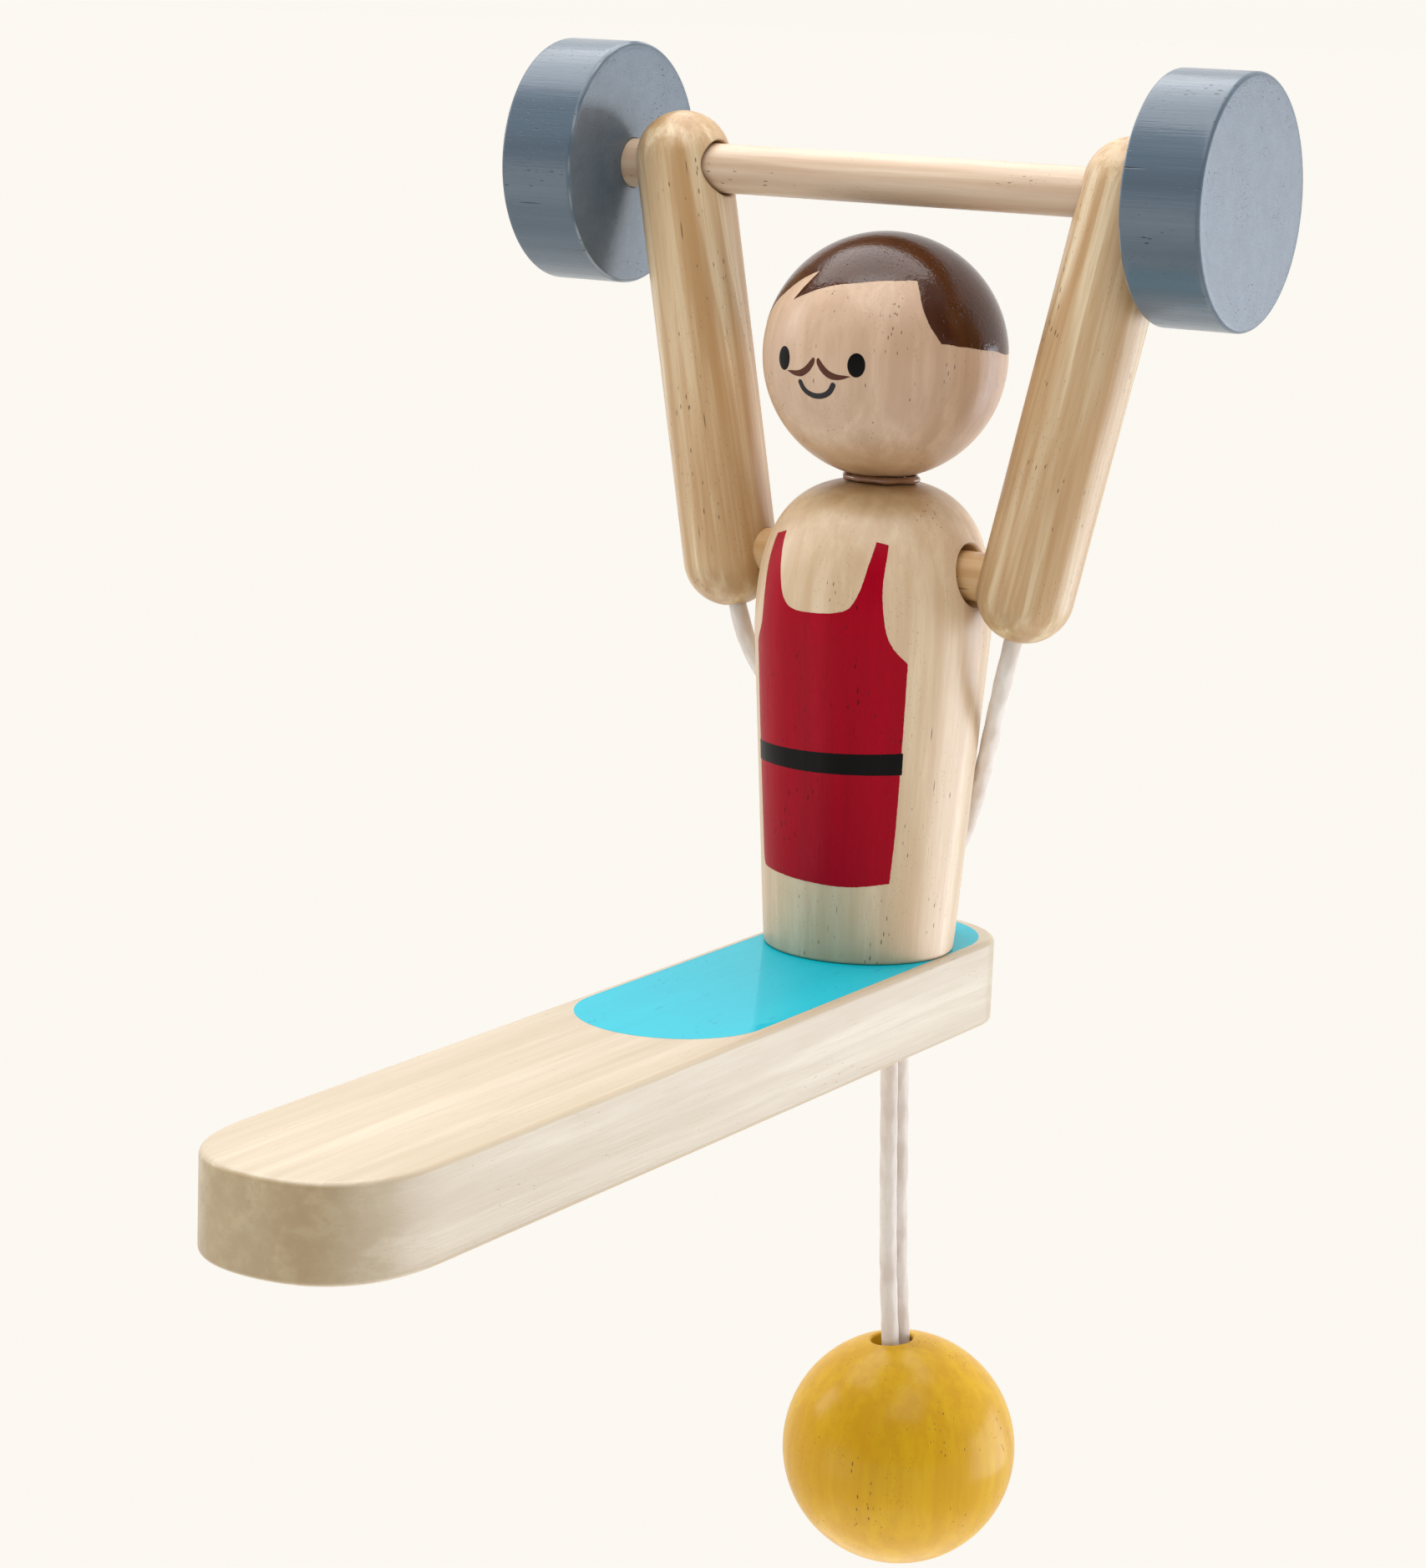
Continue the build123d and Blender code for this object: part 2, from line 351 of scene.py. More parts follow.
class Shader:
    """A material's node tree, with short calls for the nodes used here."""

    def __init__(self, name):
        self.material = bpy.data.materials.new(name)
        self.material.use_nodes = True
        self.nodes = self.material.node_tree.nodes
        self.links = self.material.node_tree.links
        self.principled = self.nodes["Principled BSDF"]

    def put(self, socket, value):
        """Links a node's output to a socket, or sets the socket's own value."""
        if isinstance(value, bpy.types.NodeSocket):
            self.links.new(value, socket)
        else:
            socket.default_value = value

    def add(self, kind, inputs, **settings):
        """Outputs of a new node, its settings made first and its inputs linked or set."""
        node = self.nodes.new("ShaderNode" + kind)
        for name, setting in settings.items():
            setattr(node, name, setting)
        for name, value in inputs.items():
            self.put(node.inputs[name], value)
        return node.outputs

    def position(self):
        """Place on the piece at rest, in metres."""
        return self.add("TexCoord", {})["Object"]

    def attribute(self, name, kind="Fac"):
        """A value stored on the mesh."""
        return self.add("Attribute", {}, attribute_name=name)[kind]

    def math(self, operation, a, b=0.0, c=0.0, clamp=False):
        return self.add("Math", {0: a, 1: b, 2: c}, operation=operation, use_clamp=clamp)[0]

    def vector_math(self, operation, a, b):
        return self.add("VectorMath", {0: a, 1: b}, operation=operation)[0]

    def mapped(self, vector, turn, scale, shift=(0, 0, 0)):
        """A vector turned by a rotation, in degrees, then stretched and shifted."""
        rotation = [math.radians(t) for t in turn]
        turned = self.add("Mapping", {"Rotation": rotation, "Vector": vector})[0]
        return self.vector_math("ADD", self.vector_math("MULTIPLY", turned, scale), shift)

    def noise(self, vector, scale=1.0, detail=2.0, rough=0.5):
        inputs = {"Vector": vector, "Scale": scale, "Detail": detail, "Roughness": rough}
        return self.add("TexNoise", inputs)[0]

    def cells(self, vector):
        """Distance to the nearest of scattered points."""
        return self.add("TexVoronoi", {"Vector": vector, "Scale": 1.0})["Distance"]

    def span(self, value, low, high, to_low=0.0, to_high=1.0):
        """Maps a range of values to another, eased at both ends and clamped."""
        inputs = {"Value": value, "From Min": low, "From Max": high, "To Min": to_low, "To Max": to_high}
        return self.add("MapRange", inputs, interpolation_type="SMOOTHSTEP")[0]

    def mix(self, share, a, b, blend="MIX"):
        return self.add("Mix", {0: share, 6: a, 7: b}, data_type="RGBA", blend_type=blend)[2]

    def bump(self, height, distance, strength):
        return self.add("Bump", {"Height": height, "Distance": distance, "Strength": strength})[0]

    def finish(
        self, colour, roughness, normal=None, specular=0.5, coat=0.0, coat_roughness=0.1, sheen=0.0
    ):
        """Sets the surface. Coat, sheen and specular are the same all over."""
        surface = self.principled.inputs
        self.put(surface["Base Color"], colour)
        self.put(surface["Roughness"], roughness)
        surface["Specular IOR Level"].default_value = specular
        surface["Coat Weight"].default_value = coat
        surface["Coat Roughness"].default_value = coat_roughness
        surface["Sheen Weight"].default_value = sheen
        if normal is not None:
            self.put(surface["Normal"], normal)
            self.put(surface["Coat Normal"], normal)


def srgb(red, green, blue):
    """Linear colour from 0 to 255 display values."""
    linear = []
    for value in (red, green, blue):
        share = value / 255
        linear.append(share / 12.92 if share <= 0.04045 else ((share + 0.055) / 1.055) ** 2.4)
    return (*linear, 1.0)


# ---------------------------------------------------------------- wood and paint materials

end_tint = (0.84, 0.77, 0.61, 1)
worn_edge = (0.62, 0.66, 0.70, 1)
wood_coat = 0.4

# Degrees that turn a piece's grain direction onto Z.
GRAIN_Z = (0, 0, 0)
GRAIN_Y = (90, 0, 0)
GRAIN_X = (0, -90, 0)


class Grain:
    """Grain figure shared by bare and painted wood: streaks, fibres, growth rings and pores."""

    def __init__(self, shader, turn, seed, pith=(14.0, 6.0), ring_gap=5.0):
        self.shader = shader
        place = shader.position()
        shift = (seed * 17.3, seed * 9.1, seed * 31.7)
        self.millimetres = shader.mapped(place, turn, (1000, 1000, 1000))
        self.streaks = shader.noise(shader.mapped(place, turn, (300, 300, 12), shift), 1.0, 3.0, 0.55)
        self.bands = shader.noise(shader.mapped(place, turn, (620, 620, 7), shift), 1.0, 2.0, 0.5)
        self.fibres = shader.noise(shader.mapped(place, turn, (3600, 3600, 90), shift), 1.0, 2.0, 0.6)
        self.rings = self.growth_rings(place, turn, shift, pith, ring_gap)
        self.end = self.end_share(turn)
        self.pores = self.pore_mask(place, turn, shift)

    def end_share(self, turn):
        """How squarely the surface cuts across the grain, from 0 to 1."""
        shader = self.shader
        turned = shader.mapped(shader.add("TexCoord", {})["Normal"], turn, (1, 1, 1))
        along = shader.add("SeparateXYZ", {0: turned})["Z"]
        return shader.span(shader.math("ABSOLUTE", along), 0.45, 0.95)

    def growth_rings(self, place, turn, shift, pith, ring_gap):
        """Rings about a pith line that runs along the grain, bent by slow noise."""
        shader = self.shader
        wander = shader.noise(shader.mapped(place, turn, (60, 60, 14), shift), 1.0, 1.0, 0.5)
        offset = shader.vector_math("ADD", self.millimetres, (pith[0], pith[1], 0))
        flat = shader.vector_math("MULTIPLY", offset, (1, 1, 0.035))
        length = shader.add("VectorMath", {0: flat}, operation="LENGTH")["Value"]
        distance = shader.math("MULTIPLY_ADD", wander, 9.0, length)
        phase = shader.math("FRACT", shader.math("DIVIDE", distance, ring_gap))
        rise = shader.span(phase, 0.0, 0.75)
        fall = shader.span(phase, 0.88, 1.0)
        return shader.math("SUBTRACT", rise, fall)

    def scattered(self, place, turn, shift, scale, patches, spread, size):
        """Scattered dots, stretched along the grain and gathered in patches."""
        shader = self.shader
        cells = shader.cells(shader.mapped(place, turn, scale, shift))
        patch = shader.noise(shader.mapped(place, turn, patches, shift), 1.0, 2.0, 0.6)
        reach = shader.span(patch, *spread, 0.0, size)
        return shader.math("MULTIPLY", shader.math("SUBTRACT", reach, cells), 14.0, clamp=True)

    def pore_mask(self, place, turn, shift):
        """Open pores and a few longer checks along the grain. On end grain they are round dots."""
        shader = self.shader
        pores = self.scattered(place, turn, shift, (1300, 1300, 330), (150, 150, 40), (0.42, 0.68), 0.19)
        dashes = self.scattered(place, turn, shift, (1150, 1150, 75), (90, 90, 24), (0.47, 0.68), 0.15)
        specks = self.scattered(place, turn, shift, (2300, 2300, 900), (160, 160, 60), (0.36, 0.6), 0.2)
        marks = shader.math("MAXIMUM", pores, dashes)
        return shader.math("MAXIMUM", marks, shader.math("MULTIPLY", specks, 0.4))


def bare_wood(
    name, turn, seed, colours, pith=(14.0, 6.0), ring_gap=5.0, figure_share=0.4, pore_share=0.8
):
    """Sanded and sealed pale hardwood. Its colours are those of light wood, dark wood and pores."""
    light, dark, pore_colour = [srgb(*colour) for colour in colours]
    shader = Shader(name)
    grain = Grain(shader, turn, seed, pith, ring_gap)
    colour = shader.mix(shader.span(grain.streaks, 0.33, 0.68), light, dark)
    colour = shader.mix(shader.math("MULTIPLY", grain.rings, figure_share), colour, dark)
    band_share = shader.span(grain.bands, 0.5, 0.6, 0.0, 0.9 * figure_share)
    colour = shader.mix(band_share, colour, dark)
    colour = shader.mix(shader.span(grain.fibres, 0.48, 0.75, 0.0, 0.4), colour, dark)
    colour = shader.mix(shader.math("MULTIPLY", grain.pores, pore_share), colour, pore_colour)
    colour = shader.mix(grain.end, colour, end_tint, "MULTIPLY")
    roughness = shader.span(grain.fibres, 0.3, 0.75, 0.4, 0.55)
    height = shader.math("MULTIPLY_ADD", grain.pores, -pore_share, shader.math("MULTIPLY", grain.fibres, 0.3))
    normal = shader.bump(height, 0.12 * MM, 0.7)
    shader.finish(colour, roughness, normal, 0.5, wood_coat, 0.28)
    return shader.material


def painted_wood(
    name, turn, seed, colours, gloss=0.38, coat=0.2, relief=0.10, specular=0.25, peel=0.0,
    coat_roughness=0.08, cracked=False
):
    """Paint on wood, thin enough for the grain to show. Its colours are fresh, worn and in pores."""
    paint, worn, pore_colour = [srgb(*colour) for colour in colours]
    shader = Shader(name)
    grain = Grain(shader, turn, seed)
    colour = shader.mix(shader.span(grain.streaks, 0.3, 0.7, 0.0, 0.7), paint, worn)
    colour = shader.mix(shader.span(grain.bands, 0.5, 0.6, 0.0, 0.3), colour, worn)
    colour = shader.mix(shader.math("MULTIPLY", grain.pores, 0.85), colour, pore_colour)
    cracks = 0.0
    if cracked:
        colour = shader.mix(shader.math("MULTIPLY", shader.attribute("wear"), 0.6), colour, worn_edge)
        shift = (seed * 3.3, seed * 5.7, seed * 2.9)
        cracks = grain.scattered(
            shader.position(), turn, shift, (900, 900, 45), (60, 60, 16), (0.43, 0.65), 0.17
        )
        colour = shader.mix(shader.math("MULTIPLY", cracks, 0.8), colour, pore_colour)
    roughness = shader.span(grain.fibres, 0.3, 0.75, gloss - 0.04, gloss + 0.10)
    height = shader.math("MULTIPLY_ADD", grain.pores, -1.0, shader.math("MULTIPLY", grain.fibres, 0.3))
    height = shader.math("SUBTRACT", height, cracks)
    if peel:
        dimples = shader.noise(shader.position(), 1500.0, 2.0, 0.5)
        height = shader.math("MULTIPLY_ADD", dimples, peel, height)
    normal = shader.bump(height, relief * MM, 0.7)
    shader.finish(colour, roughness, normal, specular, coat, coat_roughness)
    return shader.material


def cotton(name):
    """Soft spun cotton, its pattern fixed to the string's places at rest."""
    shader = Shader(name)
    place = shader.attribute("rest", "Vector")
    fuzz = shader.noise(place, 2600.0, 3.0, 0.65)
    patches = shader.noise(place, 160.0, 2.0, 0.5)
    colour = shader.mix(shader.span(patches, 0.35, 0.7), srgb(232, 224, 218), srgb(220, 208, 200))
    colour = shader.mix(shader.span(fuzz, 0.5, 0.85, 0.0, 0.35), colour, srgb(196, 178, 166))
    normal = shader.bump(fuzz, 0.12 * MM, 0.6)
    shader.finish(colour, 0.95, normal, 0.15, 0.0, 0.1, 0.35)
    return shader.material


make_camera()
make_lights()
make_floor()

# Display values of the light and dark wood or paint, and of the pores.
pore_brown = (92, 60, 34)
board_colours = ((203, 189, 165), (185, 167, 140), pore_brown)
torso_colours = ((220, 197, 166), (201, 171, 136), pore_brown)
head_colours = ((207, 177, 150), (188, 155, 127), pore_brown)
arm_colours = ((224, 203, 168), (180, 140, 92), pore_brown)
bar_colours = ((217, 196, 171), (192, 162, 134), pore_brown)
dowel_colours = ((218, 182, 134), (190, 148, 96), pore_brown)
peg_colours = ((130, 90, 62), (100, 66, 44), pore_brown)
plate_colours = ((86, 102, 117), (77, 92, 106), (18, 22, 27))
ball_colours = ((214, 168, 24), (200, 148, 22), (96, 62, 12))
red_colours = ((164, 0, 30), (150, 0, 25), (70, 2, 8))
black_colours = ((14, 11, 11), (9, 7, 8), (4, 4, 4))
smile_colours = ((40, 36, 40), (32, 28, 32), (12, 11, 12))
moustache_colours = ((86, 44, 28), (70, 34, 20), (36, 16, 9))
blue_colours = ((0, 177, 196), (0, 171, 191), (0, 120, 145))
hair_colours = ((70, 32, 6), (58, 25, 4), (18, 8, 3))
# The glue bead's colours are partly the glue's own and partly painted shade of the crevice between body and
# head.
glue_and_crevice_shade_colours = ((160, 118, 88), (132, 92, 66), (90, 56, 40))

# The plates' gloss, coat and relief.
plate_finish = (0.36, 0.5, 0.16)

# Degrees by which each arm leans, which its grain follows.
arm_lean = 11.8

# Paint: gloss is the roughness, and then come coat, relief, specular, peel and the coat's roughness.
# Wood: the numbers are the pith's place, the rings' gap, and the share of figure and of pores.
materials = {
    "board": bare_wood("board_look", GRAIN_Y, 1, board_colours, (60.0, 45.0), 9.0, 0.5, 0.25),
    "torso": bare_wood("torso_look", GRAIN_Z, 2, torso_colours, figure_share=0.3),
    "head": bare_wood("head_look", GRAIN_Z, 3, head_colours),
    "left_arm": bare_wood("left_arm_look", (0, -arm_lean, 0), 4, arm_colours, (9.0, 3.0), 4.0, 0.5),
    "right_arm": bare_wood("right_arm_look", (0, arm_lean, 0), 11, arm_colours, (9.0, 3.0), 4.0, 0.5),
    "bar": bare_wood("bar_look", GRAIN_X, 5, bar_colours),
    "dowel": bare_wood("dowel_look", GRAIN_X, 6, dowel_colours),
    "peg": bare_wood("peg_look", GRAIN_Z, 7, peg_colours),
    "left_plate": painted_wood("plate_look_left", GRAIN_X, 8, plate_colours, *plate_finish, cracked=True),
    "right_plate": painted_wood("plate_look_right", GRAIN_X, 12, plate_colours, *plate_finish, cracked=True),
    "ball": painted_wood("ball_look", GRAIN_Z, 9, ball_colours, 0.4, 0.3, 0.1, 0.1, 0.0, 0.16),
    "red": painted_wood("red_look", GRAIN_Z, 2, red_colours, 0.32, 0.0, 0.1, 0.09),
    "black": painted_wood("black_look", GRAIN_Z, 2, black_colours, 0.33, 0.0, 0.07, 0.1),
    "smile": painted_wood("smile_look", GRAIN_Z, 3, smile_colours, 0.4, 0.0, 0.05, 0.2),
    "moustache": painted_wood("moustache_look", GRAIN_Z, 3, moustache_colours, 0.4, 0.0, 0.05, 0.2),
    "blue": painted_wood("blue_look", GRAIN_Y, 1, blue_colours, 0.3, 0.5, 0.006, 0.0, 0.0, 0.03),
    "hair": painted_wood("hair_look", GRAIN_Z, 3, hair_colours, 0.35, 0.8, 0.12, 0.0, 0.6),
    # Glossy brown glue bead at the neck, partly painted shade of the crevice between body and head.
    "glue_and_crevice_shade": painted_wood("glue_and_crevice_shade_look", GRAIN_Z, 13, glue_and_crevice_shade_colours, 0.2, 0.6, 0.05, 0.5, 0.5),
    "cotton": cotton("string_cotton_look"),
}

# ---------------------------------------------------------------- strings

string_diameter = 3.0 * MM
shoulder_height = 64.0

# Control points of each string's route, listed in metres.
upper_routes = {
    "left": [
        (0.02691, 0.11986, 0.07330), (0.02530, 0.11980, 0.06610), (0.02260, 0.12240, 0.05810),
        (0.01800, 0.12920, 0.04960), (0.01420, 0.13400, 0.04110), (0.01060, 0.13640, 0.03260),
        (0.00630, 0.13790, 0.02410), (0.00175, 0.13810, 0.01710), (0.00130, 0.13700, 0.00960),
        (0.00025, 0.13610, 0.00260),
    ],
    "right": [
        (-0.02691, 0.11986, 0.07330), (-0.02530, 0.11980, 0.06610), (-0.02260, 0.12240, 0.05810),
        (-0.01800, 0.12920, 0.04960), (-0.01420, 0.13400, 0.04110), (-0.01060, 0.13640, 0.03260),
        (-0.00630, 0.13790, 0.02410), (-0.00175, 0.13810, 0.01710), (-0.00150, 0.13520, 0.00960),
        (-0.00025, 0.13300, 0.00260),
    ],
}
hanging_routes = {
    "left": [
        (0.00025, 0.13610, 0.00200), (0.00100, 0.13675, -0.02740), (0.00225, 0.13756, -0.05816),
        (0.00510, 0.13939, -0.08978),
    ],
    "right": [
        (-0.00025, 0.13300, 0.00200), (0.00050, 0.13365, -0.02740), (0.00177, 0.13447, -0.05839),
        (0.00462, 0.13631, -0.09000),
    ],
}
ball_bore_direction = Vector((0.09, 0.058, -1.0)).normalized()
ball_pocket_depth = 9.0 * MM


def nurbs_line(points):
    """Points along the smooth line that a route's control points give."""
    data = bpy.data.curves.new("line", "CURVE")
    data.dimensions = "3D"
    spline = data.splines.new("NURBS")
    spline.points.add(len(points) - 1)
    for control, point in zip(spline.points, points):
        control.co = (*point, 1)
    spline.order_u = 3
    spline.use_endpoint_u = True
    spline.resolution_u = 48
    curve = bpy.data.objects.new("line", data)
    bpy.context.scene.collection.objects.link(curve)
    bpy.context.view_layer.update()
    mesh = bpy.data.meshes.new_from_object(curve)
    line = [vertex.co.copy() for vertex in mesh.vertices]
    bpy.data.objects.remove(curve)
    bpy.data.meshes.remove(mesh)
    return line


def spaced(line, step):
    """The line's points again, a fixed step apart."""
    array = np.array(line)
    runs = np.linalg.norm(np.diff(array, axis=0), axis=1)
    reach = np.concatenate([[0], np.cumsum(runs)])
    count = max(2, round(reach[-1] / step))
    marks = np.linspace(0, reach[-1], count + 1)
    return np.stack([np.interp(marks, reach, array[:, k]) for k in range(3)], axis=1), marks


def cord_frames(line):
    """Tangent and two normals at each point, carried along without twist."""
    tangents = np.gradient(line, axis=0)
    tangents /= np.linalg.norm(tangents, axis=1)[:, None]
    first = np.cross(tangents[0], (0.3, 0.2, 0.9))
    normals = [first / np.linalg.norm(first)]
    for tangent in tangents[1:]:
        normal = normals[-1] - tangent * (normals[-1] @ tangent)
        normals.append(normal / np.linalg.norm(normal))
    normals = np.array(normals)
    return tangents, normals, np.cross(tangents, normals)


plait_pitch = 7.5 * MM
plait_swell = 0.035
plait_strands = 8
around = 40
along_step = 0.22 * MM
knot_height = 7.0 * MM
knot_inner_radius = 1.9 * MM
knot_outer_radius = 3.65 * MM


def plait_mesh(line, marks, seed, closed):
    """Points and faces of a soft plaited tube along a line."""
    _, normals, sides = cord_frames(line)
    turn = np.linspace(0, 2 * math.pi, around, endpoint=False)
    if closed:
        # The frame comes back turned, so that turn is spread along the whole loop.
        gap = math.atan2(normals[-1] @ sides[0], normals[-1] @ normals[0])
        share = marks / marks[-1]
        spin = -gap * share
        normals, sides = (
            np.cos(spin)[:, None] * normals + np.sin(spin)[:, None] * sides,
            np.cos(spin)[:, None] * sides - np.sin(spin)[:, None] * normals,
        )
    phase = 2 * math.pi * marks[:, None] / plait_pitch
    half = plait_strands / 2
    one_way = np.cos(half * turn[None, :] + phase)
    other_way = np.cos(half * turn[None, :] - phase)
    swell = 1 + plait_swell * np.maximum(one_way, other_way)
    if not closed:
        slow = np.array([mu_noise.noise(Vector((seed * 7.1, mark / (3.0 * MM), 0))) for mark in marks])
        swell *= 1 + 0.03 * slow[:, None]
    radius = string_diameter / 2 * 0.985 * swell
    ring = np.cos(turn)[None, :, None] * normals[:, None, :] + np.sin(turn)[None, :, None] * sides[:, None, :]
    surface = line[:, None, :] + radius[:, :, None] * ring
    if closed:
        surface = surface[:-1]
    return surface.reshape(-1, 3), tube_faces(len(surface), around, closed)


def cotton_piece(name, node, points, faces):
    """A cotton piece that stands for its CAD node, with its places at rest stored for its look."""
    piece = new_piece(name, points, faces, 60)
    rest = piece.data.attributes.new("rest", "FLOAT_VECTOR", "POINT")
    rest.data.foreach_set("vector", np.array(points, dtype=np.float32).ravel())
    piece.data.materials.append(materials["cotton"])
    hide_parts(node)
    return piece


def make_knot():
    """Trefoil knot in the ball's pocket, with the strings' ends leading in and two short tails."""
    matrix = axis_matrix(
        ball_centre + ball_bore_direction * (ball_radius - ball_pocket_depth), ball_bore_direction
    )
    rise = knot_height / 2 - string_diameter / 2
    loop = []
    for turn in np.linspace(0, 2 * math.pi, 241):
        share = (math.sqrt(5 - 4 * math.cos(3 * turn)) - 1) / 2
        reach = knot_inner_radius + (knot_outer_radius - knot_inner_radius) * share
        spot = Vector((math.sin(turn) + 2 * math.sin(2 * turn), math.cos(turn) - 2 * math.cos(2 * turn), 0))
        spot = spot.normalized() * reach
        spot.z = knot_height / 2 - rise * math.sin(3 * turn)
        loop.append(matrix @ spot)
    parts = [(loop, True)]
    for side_name, side in BOTH_SIDES:
        end = Vector(hanging_routes[side_name][-1])
        middle = matrix @ Vector((0.6 * MM * side, 0, knot_height / 2))
        parts.append(([end, end + (middle - end) * 0.5, middle], False))
        tail = [(0.8 * side, 0.3, 3.6), (1.5 * side, 0.6, 5.6), (2.3 * side, 1.3 * side, 7.3)]
        parts.append(([matrix @ (Vector(point) * MM) for point in tail], False))
    points = []
    faces = []
    for line, closed in parts:
        stepped, marks = spaced(line if closed else nurbs_line(line), along_step)
        part_points, part_faces = plait_mesh(stepped, marks, len(points), closed)
        first = len(points)
        points += list(part_points)
        faces += [tuple(first + k for k in face) for face in part_faces]
    knot = cotton_piece("string_knot_cord", "string_knot", points, faces)
    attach(knot, "ball")
    return knot


def make_string(node, route, seed):
    """Soft round string along its route, with its line and length."""
    line, marks = spaced(nurbs_line(route), along_step)
    points, faces = plait_mesh(line, marks, seed, False)
    piece = cotton_piece(f"{node}_cord", node, points, faces)
    length = float(np.linalg.norm(np.diff(line, axis=0), axis=1).sum())
    print(node, "length", round(length / MM, 1))
    return piece, line, length


def make_strings():
    """The two upper strings, the two hanging ones and their knot."""
    knot = make_knot()
    for side_name, side in BOTH_SIDES:
        node = f"{side_name}_upper_string"
        piece, line, length = make_string(node, upper_routes[side_name], side + 2)
        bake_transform(piece)
    for side_name, side in BOTH_SIDES:
        node = f"{side_name}_hanging_string"
        piece, line, length = make_string(node, hanging_routes[side_name], side + 6)
        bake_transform(piece)


make_strings()

# ---------------------------------------------------------------- board, body and head

board_width = board_high.x - board_low.x
board_length = board_high.y - board_low.y
board_thickness = board_high.z - board_low.z
grip_end_depth = 20.8 * MM
grip_end_fullness = 0.655
tail_end_depth = 13.5 * MM
tail_end_fullness = 0.552
board_edge_round = 1.0 * MM
string_hole_radius = 4.5
string_hole_back = 15.4
dowel_radius = 4.0
glue_gap = 0.05
foot_dowel_forward = 3.0
foot_dowel_reach = 9.0

torso_foot_radius = 15.9
torso_foot_round = 0.6
torso_widest_radius = 19.5
torso_widest_height = 53.0
torso_height = 78.2
torso_shoulder_power = 2.75
torso_top_flat_radius = 3.0
neck_dowel_in_torso = 7.0
neck_dowel_length = 18.0
shoulder_bore_radius = 5.0
heel_notch_height = 3.0
fine_segments = 256


def eased_bore(piece, start, direction, radius, ease, length, far_mouth=False, segments=72):
    """Cutter for a round bore into a piece, with its mouth rounded over along the real surface."""
    bpy.context.view_layer.update()
    matrix = axis_matrix(start, direction)
    axis = Vector(direction).normalized()
    wide = radius + ease
    mouths = []
    far_mouths = []
    for k in range(segments):
        turn = 2 * math.pi * k / segments
        spot = matrix @ Vector((wide * math.cos(turn), wide * math.sin(turn), 0))
        hit, where, _, _ = piece.ray_cast(spot, axis)
        mouths.append((where - spot).dot(axis) if hit else 0.0)
        if far_mouth:
            far_spot = spot + axis * length
            hit, where, _, _ = piece.ray_cast(far_spot, -axis)
            far_mouths.append((where - spot).dot(axis) if hit else length)
    arc = edge_arc(ease, 5)
    rings = [[(wide, -ease)] * segments]
    rings += [[(radius + inset, mouth + rise) for mouth in mouths] for inset, rise in arc]
    if far_mouth:
        rings += [[(radius + inset, mouth - rise) for mouth in far_mouths] for inset, rise in arc[::-1]]
        rings.append([(wide, length + ease)] * segments)
    else:
        rings.append([(radius, length)] * segments)
    points = []
    for ring in rings:
        for k, (across, along) in enumerate(ring):
            turn = 2 * math.pi * k / segments
            points.append(matrix @ Vector((across * math.cos(turn), across * math.sin(turn), along)))
    faces = tube_faces(len(rings), segments)
    return new_piece("cutter", points, faces)


def dowel_bore(start, end):
    """Cutter for a dowel's bore between two points given from the figure's axis in millimetres."""
    return rod_piece("cutter", at_figure(*start), at_figure(*end), (dowel_radius + glue_gap) * MM)


def place(piece, node, body, look, slot_name):
    """Gives a piece its material and body, and has it stand for its CAD node. Its slot name is not used."""
    piece.data.materials.clear()
    piece.data.materials.append(materials[look])
    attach(piece, body)
    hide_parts(node)


def weighted(weights, vectors):
    """Sum of flat vectors, each times its weight."""
    return sum((weight * vector for weight, vector in zip(weights, vectors)), Vector((0, 0)))


def end_points(tip, depth, fullness, inset, side):
    """One rounded quarter of the board's outline, from a side to the tip, moved inwards."""
    start = tip - math.copysign(depth, tip - figure.y)
    edge = side * board_width / 2
    controls = [(edge, start), (edge, start + fullness * (tip - start)), (edge * fullness, tip), (0, tip)]
    controls = [Vector(control) for control in controls]
    runs = [after - before for before, after in zip(controls, controls[1:])]
    steps = 28
    points = []
    for step in range(steps + 1):
        share = step / steps
        left = 1 - share
        spot = weighted((left**3, 3 * left**2 * share, 3 * left * share**2, share**3), controls)
        along = weighted((left**2, 2 * left * share, share**2), runs).normalized()
        inwards = Vector((-along.y, along.x))
        if inwards.dot(Vector((0, figure.y - board_length / 4)) - spot) < 0:
            inwards = -inwards
        points.append(spot + inwards * inset)
    return points


def board_outline(inset):
    """The board's outline in plan, moved inwards by an inset."""
    grip = (board_low.y, grip_end_depth, grip_end_fullness, inset)
    tail = (board_high.y, tail_end_depth, tail_end_fullness, inset)
    outline = end_points(*grip, -1) + end_points(*grip, 1)[-2::-1]
    outline += end_points(*tail, 1) + end_points(*tail, -1)[-2::-1]
    return [(point.x, point.y) for point in outline]


def make_board():
    """Flat board with round ends and rounded rims, bored for the strings and the foot dowel."""
    rim = edge_arc(board_edge_round, 8)
    levels = [(inset, board_low.z + rise) for inset, rise in rim]
    levels += [(inset, board_high.z - rise) for inset, rise in reversed(rim)]
    points = []
    for inset, height in levels:
        points += [(x, y, height) for x, y in board_outline(inset)]
    faces = tube_faces(len(levels), len(points) // len(levels))
    board = new_piece("handle_board_wood", points, faces)
    hole = eased_bore(
        board, at_figure(0, string_hole_back, 5), (0, 0, -1), string_hole_radius * MM, 0.5 * MM,
        board_thickness + 10 * MM, far_mouth=True,
    )
    dowel_hole = dowel_bore((0, -foot_dowel_forward, -foot_dowel_reach), (0, -foot_dowel_forward, 5))
    cut_away(board, [hole, dowel_hole])
    place(board, "handle_board", "base", "board", "board_wood")


